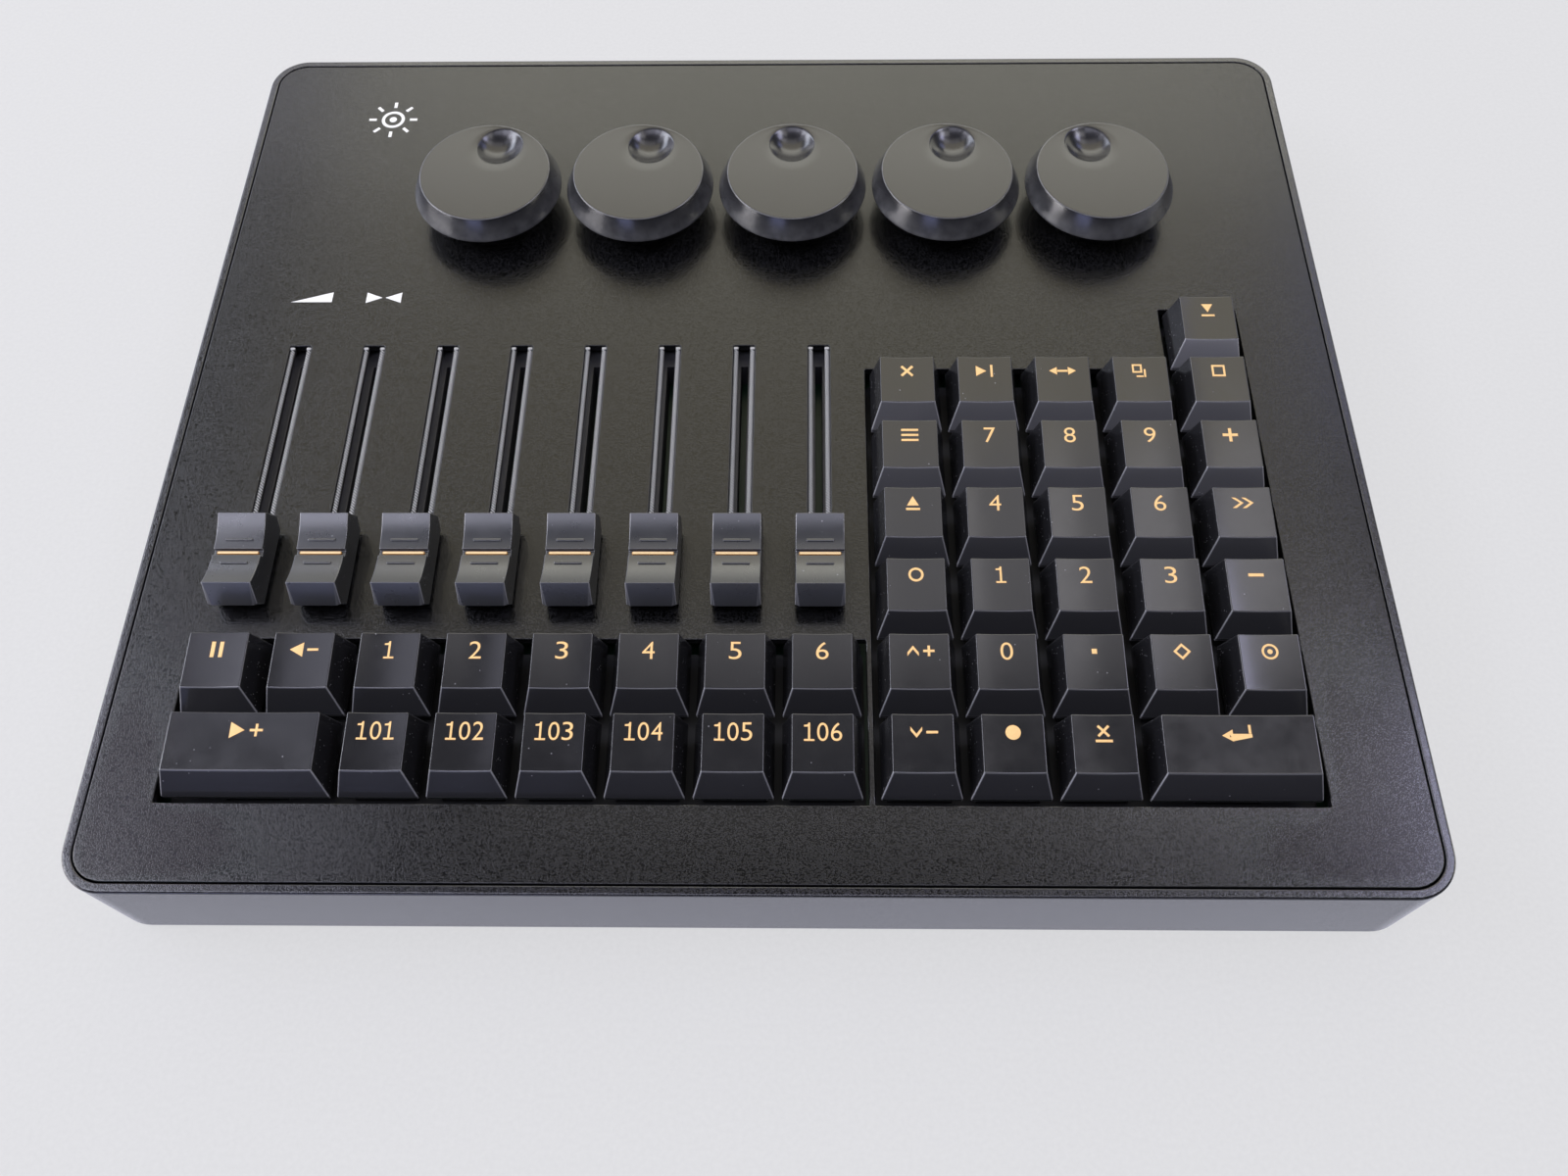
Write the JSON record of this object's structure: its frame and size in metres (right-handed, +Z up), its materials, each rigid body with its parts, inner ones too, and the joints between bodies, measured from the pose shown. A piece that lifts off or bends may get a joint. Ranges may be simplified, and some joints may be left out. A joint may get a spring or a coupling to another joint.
{
  "type": "lighting controller",
  "caption": "Desktop lighting controller: flat metal case, inset panel, slide faders, dimpled encoder knobs and blocks of sculpted push keys.",
  "frame": {"origin": "under the middle of the case, on the surface that its feet stand on", "axes": "+X to the operator's right, +Y away from the operator, +Z up"},
  "size_m": [0.291, 0.2486, 0.0413],
  "materials": {
    "case_paint": "satin black powder coat",
    "panel_paint": "fine sand-textured black powder coat",
    "keycap_plastic": "satin black moulded plastic with light edges",
    "fader_cap_plastic": "satin dark grey moulded plastic",
    "knob_plastic": "satin black, smooth turned"
  },
  "bodies": {
    "case": {"bottom_case": "case_paint", "top_panel": "panel_paint"},
    "crossfade_fader": {"crossfade_fader": "fader_cap_plastic"},
    "fader_1": {"fader_1": "fader_cap_plastic"},
    "fader_2": {"fader_2": "fader_cap_plastic"},
    "fader_3": {"fader_3": "fader_cap_plastic"},
    "fader_4": {"fader_4": "fader_cap_plastic"},
    "fader_5": {"fader_5": "fader_cap_plastic"},
    "fader_6": {"fader_6": "fader_cap_plastic"},
    "master_fader": {"master_fader": "fader_cap_plastic"},
    "encoder_knob_1": {"encoder_knob_1": "knob_plastic"},
    "encoder_knob_2": {"encoder_knob_2": "knob_plastic"},
    "encoder_knob_3": {"encoder_knob_3": "knob_plastic"},
    "encoder_knob_4": {"encoder_knob_4": "knob_plastic"},
    "encoder_knob_5": {"encoder_knob_5": "knob_plastic"},
    "assign_key": {"assign_key": "keycap_plastic"},
    "at_key": {"at_key": "keycap_plastic"},
    "backup_key": {"backup_key": "keycap_plastic"},
    "clear_key": {"clear_key": "keycap_plastic"},
    "copy_key": {"copy_key": "keycap_plastic"},
    "delete_key": {"delete_key": "keycap_plastic"},
    "digit_0_key": {"digit_0_key": "keycap_plastic"},
    "digit_1_key": {"digit_1_key": "keycap_plastic"},
    "digit_2_key": {"digit_2_key": "keycap_plastic"},
    "digit_3_key": {"digit_3_key": "keycap_plastic"},
    "digit_4_key": {"digit_4_key": "keycap_plastic"},
    "digit_5_key": {"digit_5_key": "keycap_plastic"},
    "digit_6_key": {"digit_6_key": "keycap_plastic"},
    "digit_7_key": {"digit_7_key": "keycap_plastic"},
    "digit_8_key": {"digit_8_key": "keycap_plastic"},
    "digit_9_key": {"digit_9_key": "keycap_plastic"},
    "dot_key": {"dot_key": "keycap_plastic"},
    "enter_key": {"enter_key": "keycap_plastic"},
    "escape_key": {"escape_key": "keycap_plastic"},
    "executor_101_key": {"executor_101_key": "keycap_plastic"},
    "executor_102_key": {"executor_102_key": "keycap_plastic"},
    "executor_103_key": {"executor_103_key": "keycap_plastic"},
    "executor_104_key": {"executor_104_key": "keycap_plastic"},
    "executor_105_key": {"executor_105_key": "keycap_plastic"},
    "executor_106_key": {"executor_106_key": "keycap_plastic"},
    "executor_1_key": {"executor_1_key": "keycap_plastic"},
    "executor_2_key": {"executor_2_key": "keycap_plastic"},
    "executor_3_key": {"executor_3_key": "keycap_plastic"},
    "executor_4_key": {"executor_4_key": "keycap_plastic"},
    "executor_5_key": {"executor_5_key": "keycap_plastic"},
    "executor_6_key": {"executor_6_key": "keycap_plastic"},
    "go_back_key": {"go_back_key": "keycap_plastic"},
    "go_key": {"go_key": "keycap_plastic"},
    "if_key": {"if_key": "keycap_plastic"},
    "minus_key": {"minus_key": "keycap_plastic"},
    "move_key": {"move_key": "keycap_plastic"},
    "page_down_key": {"page_down_key": "keycap_plastic"},
    "page_up_key": {"page_up_key": "keycap_plastic"},
    "pause_key": {"pause_key": "keycap_plastic"},
    "plus_key": {"plus_key": "keycap_plastic"},
    "select_key": {"select_key": "keycap_plastic"},
    "sequence_key": {"sequence_key": "keycap_plastic"},
    "store_key": {"store_key": "keycap_plastic"},
    "through_key": {"through_key": "keycap_plastic"},
    "update_key": {"update_key": "keycap_plastic"}
  },
  "joints": [
    {"name": "crossfade_fader_slide", "type": "slide", "parent": "case", "child": "crossfade_fader", "axis": [0, 1, 0], "range_m": [0, 0.06]},
    {"name": "fader_1_slide", "type": "slide", "parent": "case", "child": "fader_1", "axis": [0, 1, 0], "range_m": [0, 0.06]},
    {"name": "fader_2_slide", "type": "slide", "parent": "case", "child": "fader_2", "axis": [0, 1, 0], "range_m": [0, 0.06]},
    {"name": "fader_3_slide", "type": "slide", "parent": "case", "child": "fader_3", "axis": [0, 1, 0], "range_m": [0, 0.06]},
    {"name": "fader_4_slide", "type": "slide", "parent": "case", "child": "fader_4", "axis": [0, 1, 0], "range_m": [0, 0.06]},
    {"name": "fader_5_slide", "type": "slide", "parent": "case", "child": "fader_5", "axis": [0, 1, 0], "range_m": [0, 0.06]},
    {"name": "fader_6_slide", "type": "slide", "parent": "case", "child": "fader_6", "axis": [0, 1, 0], "range_m": [0, 0.06]},
    {"name": "master_fader_slide", "type": "slide", "parent": "case", "child": "master_fader", "axis": [0, 1, 0], "range_m": [0, 0.06]},
    {"name": "encoder_knob_1_turn", "type": "hinge", "parent": "case", "child": "encoder_knob_1", "pos_m": [-0.07453, 0.06613, 0.0383], "axis": [0, 0, 1], "continuous": true},
    {"name": "encoder_knob_2_turn", "type": "hinge", "parent": "case", "child": "encoder_knob_2", "pos_m": [-0.03363, 0.06613, 0.0383], "axis": [0, 0, 1], "continuous": true},
    {"name": "encoder_knob_3_turn", "type": "hinge", "parent": "case", "child": "encoder_knob_3", "pos_m": [0.00727, 0.06613, 0.0383], "axis": [0, 0, 1], "continuous": true},
    {"name": "encoder_knob_4_turn", "type": "hinge", "parent": "case", "child": "encoder_knob_4", "pos_m": [0.04817, 0.06613, 0.0383], "axis": [0, 0, 1], "continuous": true},
    {"name": "encoder_knob_5_turn", "type": "hinge", "parent": "case", "child": "encoder_knob_5", "pos_m": [0.08907, 0.06613, 0.0383], "axis": [0, 0, 1], "continuous": true},
    {"name": "assign_key_press", "type": "slide", "parent": "case", "child": "assign_key", "axis": [0, 0, -1], "range_m": [0, 0.0036], "stiffness_N_per_m": 75, "springref_m": -0.004},
    {"name": "at_key_press", "type": "slide", "parent": "case", "child": "at_key", "axis": [0, 0, -1], "range_m": [0, 0.0036], "stiffness_N_per_m": 75, "springref_m": -0.004},
    {"name": "backup_key_press", "type": "slide", "parent": "case", "child": "backup_key", "axis": [0, 0, -1], "range_m": [0, 0.0036], "stiffness_N_per_m": 75, "springref_m": -0.004},
    {"name": "clear_key_press", "type": "slide", "parent": "case", "child": "clear_key", "axis": [0, 0, -1], "range_m": [0, 0.0036], "stiffness_N_per_m": 75, "springref_m": -0.004},
    {"name": "copy_key_press", "type": "slide", "parent": "case", "child": "copy_key", "axis": [0, 0, -1], "range_m": [0, 0.0036], "stiffness_N_per_m": 75, "springref_m": -0.004},
    {"name": "delete_key_press", "type": "slide", "parent": "case", "child": "delete_key", "axis": [0, 0, -1], "range_m": [0, 0.0036], "stiffness_N_per_m": 75, "springref_m": -0.004},
    {"name": "digit_0_key_press", "type": "slide", "parent": "case", "child": "digit_0_key", "axis": [0, 0, -1], "range_m": [0, 0.0036], "stiffness_N_per_m": 75, "springref_m": -0.004},
    {"name": "digit_1_key_press", "type": "slide", "parent": "case", "child": "digit_1_key", "axis": [0, 0, -1], "range_m": [0, 0.0036], "stiffness_N_per_m": 75, "springref_m": -0.004},
    {"name": "digit_2_key_press", "type": "slide", "parent": "case", "child": "digit_2_key", "axis": [0, 0, -1], "range_m": [0, 0.0036], "stiffness_N_per_m": 75, "springref_m": -0.004},
    {"name": "digit_3_key_press", "type": "slide", "parent": "case", "child": "digit_3_key", "axis": [0, 0, -1], "range_m": [0, 0.0036], "stiffness_N_per_m": 75, "springref_m": -0.004},
    {"name": "digit_4_key_press", "type": "slide", "parent": "case", "child": "digit_4_key", "axis": [0, 0, -1], "range_m": [0, 0.0036], "stiffness_N_per_m": 75, "springref_m": -0.004},
    {"name": "digit_5_key_press", "type": "slide", "parent": "case", "child": "digit_5_key", "axis": [0, 0, -1], "range_m": [0, 0.0036], "stiffness_N_per_m": 75, "springref_m": -0.004},
    {"name": "digit_6_key_press", "type": "slide", "parent": "case", "child": "digit_6_key", "axis": [0, 0, -1], "range_m": [0, 0.0036], "stiffness_N_per_m": 75, "springref_m": -0.004},
    {"name": "digit_7_key_press", "type": "slide", "parent": "case", "child": "digit_7_key", "axis": [0, 0, -1], "range_m": [0, 0.0036], "stiffness_N_per_m": 75, "springref_m": -0.004},
    {"name": "digit_8_key_press", "type": "slide", "parent": "case", "child": "digit_8_key", "axis": [0, 0, -1], "range_m": [0, 0.0036], "stiffness_N_per_m": 75, "springref_m": -0.004},
    {"name": "digit_9_key_press", "type": "slide", "parent": "case", "child": "digit_9_key", "axis": [0, 0, -1], "range_m": [0, 0.0036], "stiffness_N_per_m": 75, "springref_m": -0.004},
    {"name": "dot_key_press", "type": "slide", "parent": "case", "child": "dot_key", "axis": [0, 0, -1], "range_m": [0, 0.0036], "stiffness_N_per_m": 75, "springref_m": -0.004},
    {"name": "enter_key_press", "type": "slide", "parent": "case", "child": "enter_key", "axis": [0, 0, -1], "range_m": [0, 0.0036], "stiffness_N_per_m": 75, "springref_m": -0.004},
    {"name": "escape_key_press", "type": "slide", "parent": "case", "child": "escape_key", "axis": [0, 0, -1], "range_m": [0, 0.0036], "stiffness_N_per_m": 75, "springref_m": -0.004},
    {"name": "executor_101_key_press", "type": "slide", "parent": "case", "child": "executor_101_key", "axis": [0, 0, -1], "range_m": [0, 0.0036], "stiffness_N_per_m": 75, "springref_m": -0.004},
    {"name": "executor_102_key_press", "type": "slide", "parent": "case", "child": "executor_102_key", "axis": [0, 0, -1], "range_m": [0, 0.0036], "stiffness_N_per_m": 75, "springref_m": -0.004},
    {"name": "executor_103_key_press", "type": "slide", "parent": "case", "child": "executor_103_key", "axis": [0, 0, -1], "range_m": [0, 0.0036], "stiffness_N_per_m": 75, "springref_m": -0.004},
    {"name": "executor_104_key_press", "type": "slide", "parent": "case", "child": "executor_104_key", "axis": [0, 0, -1], "range_m": [0, 0.0036], "stiffness_N_per_m": 75, "springref_m": -0.004},
    {"name": "executor_105_key_press", "type": "slide", "parent": "case", "child": "executor_105_key", "axis": [0, 0, -1], "range_m": [0, 0.0036], "stiffness_N_per_m": 75, "springref_m": -0.004},
    {"name": "executor_106_key_press", "type": "slide", "parent": "case", "child": "executor_106_key", "axis": [0, 0, -1], "range_m": [0, 0.0036], "stiffness_N_per_m": 75, "springref_m": -0.004},
    {"name": "executor_1_key_press", "type": "slide", "parent": "case", "child": "executor_1_key", "axis": [0, 0, -1], "range_m": [0, 0.0036], "stiffness_N_per_m": 75, "springref_m": -0.004},
    {"name": "executor_2_key_press", "type": "slide", "parent": "case", "child": "executor_2_key", "axis": [0, 0, -1], "range_m": [0, 0.0036], "stiffness_N_per_m": 75, "springref_m": -0.004},
    {"name": "executor_3_key_press", "type": "slide", "parent": "case", "child": "executor_3_key", "axis": [0, 0, -1], "range_m": [0, 0.0036], "stiffness_N_per_m": 75, "springref_m": -0.004},
    {"name": "executor_4_key_press", "type": "slide", "parent": "case", "child": "executor_4_key", "axis": [0, 0, -1], "range_m": [0, 0.0036], "stiffness_N_per_m": 75, "springref_m": -0.004},
    {"name": "executor_5_key_press", "type": "slide", "parent": "case", "child": "executor_5_key", "axis": [0, 0, -1], "range_m": [0, 0.0036], "stiffness_N_per_m": 75, "springref_m": -0.004},
    {"name": "executor_6_key_press", "type": "slide", "parent": "case", "child": "executor_6_key", "axis": [0, 0, -1], "range_m": [0, 0.0036], "stiffness_N_per_m": 75, "springref_m": -0.004},
    {"name": "go_back_key_press", "type": "slide", "parent": "case", "child": "go_back_key", "axis": [0, 0, -1], "range_m": [0, 0.0036], "stiffness_N_per_m": 75, "springref_m": -0.004},
    {"name": "go_key_press", "type": "slide", "parent": "case", "child": "go_key", "axis": [0, 0, -1], "range_m": [0, 0.0036], "stiffness_N_per_m": 75, "springref_m": -0.004},
    {"name": "if_key_press", "type": "slide", "parent": "case", "child": "if_key", "axis": [0, 0, -1], "range_m": [0, 0.0036], "stiffness_N_per_m": 75, "springref_m": -0.004},
    {"name": "minus_key_press", "type": "slide", "parent": "case", "child": "minus_key", "axis": [0, 0, -1], "range_m": [0, 0.0036], "stiffness_N_per_m": 75, "springref_m": -0.004},
    {"name": "move_key_press", "type": "slide", "parent": "case", "child": "move_key", "axis": [0, 0, -1], "range_m": [0, 0.0036], "stiffness_N_per_m": 75, "springref_m": -0.004},
    {"name": "page_down_key_press", "type": "slide", "parent": "case", "child": "page_down_key", "axis": [0, 0, -1], "range_m": [0, 0.0036], "stiffness_N_per_m": 75, "springref_m": -0.004},
    {"name": "page_up_key_press", "type": "slide", "parent": "case", "child": "page_up_key", "axis": [0, 0, -1], "range_m": [0, 0.0036], "stiffness_N_per_m": 75, "springref_m": -0.004},
    {"name": "pause_key_press", "type": "slide", "parent": "case", "child": "pause_key", "axis": [0, 0, -1], "range_m": [0, 0.0036], "stiffness_N_per_m": 75, "springref_m": -0.004},
    {"name": "plus_key_press", "type": "slide", "parent": "case", "child": "plus_key", "axis": [0, 0, -1], "range_m": [0, 0.0036], "stiffness_N_per_m": 75, "springref_m": -0.004},
    {"name": "select_key_press", "type": "slide", "parent": "case", "child": "select_key", "axis": [0, 0, -1], "range_m": [0, 0.0036], "stiffness_N_per_m": 75, "springref_m": -0.004},
    {"name": "sequence_key_press", "type": "slide", "parent": "case", "child": "sequence_key", "axis": [0, 0, -1], "range_m": [0, 0.0036], "stiffness_N_per_m": 75, "springref_m": -0.004},
    {"name": "store_key_press", "type": "slide", "parent": "case", "child": "store_key", "axis": [0, 0, -1], "range_m": [0, 0.0036], "stiffness_N_per_m": 75, "springref_m": -0.004},
    {"name": "through_key_press", "type": "slide", "parent": "case", "child": "through_key", "axis": [0, 0, -1], "range_m": [0, 0.0036], "stiffness_N_per_m": 75, "springref_m": -0.004},
    {"name": "update_key_press", "type": "slide", "parent": "case", "child": "update_key", "axis": [0, 0, -1], "range_m": [0, 0.0036], "stiffness_N_per_m": 75, "springref_m": -0.004}
  ]
}
